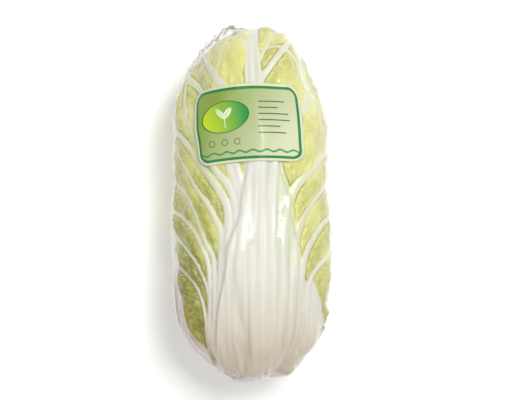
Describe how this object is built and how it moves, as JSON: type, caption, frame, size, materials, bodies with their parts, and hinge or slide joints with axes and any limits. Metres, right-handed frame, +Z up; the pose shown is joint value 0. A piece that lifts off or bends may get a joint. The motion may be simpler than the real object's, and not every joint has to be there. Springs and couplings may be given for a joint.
{
  "type": "napa cabbage",
  "caption": "Whole napa cabbage head lying on its side, overlapping ribbed leaves round a stem, wrapped in clear film with a plain printed label.",
  "frame": {"origin": "on the surface that the head lies on, under the middle of its bounding box", "axes": "+Z up, out of the labelled side; +Y along the head from the cut stem to the crown; +X across it, to the right as seen from above with the crown at the top"},
  "size_m": [0.1402, 0.3006, 0.1274],
  "materials": {
    "outer_leaf": "waxy, slightly glossy, white stalk and veins on a yellow-green blade",
    "inner_leaf": "waxy, paler and yellower than the outer leaves",
    "heart": "pale yellow packed leaves",
    "stem": "cut plant stem, off-white, browned at the cut",
    "film": "clear, thin, crinkled and glossy",
    "label": "coated paper with a green print and a pale margin"
  },
  "bodies": {
    "root": {"film_wrap": "film", "label": "label", "front_leaf": "outer_leaf", "back_right_leaf": "outer_leaf", "left_leaf": "outer_leaf", "right_leaf": "outer_leaf", "back_leaf": "inner_leaf", "inner_left_leaf": "inner_leaf", "inner_right_leaf": "inner_leaf", "heart": "heart", "stem": "stem"}
  },
  "joints": []
}
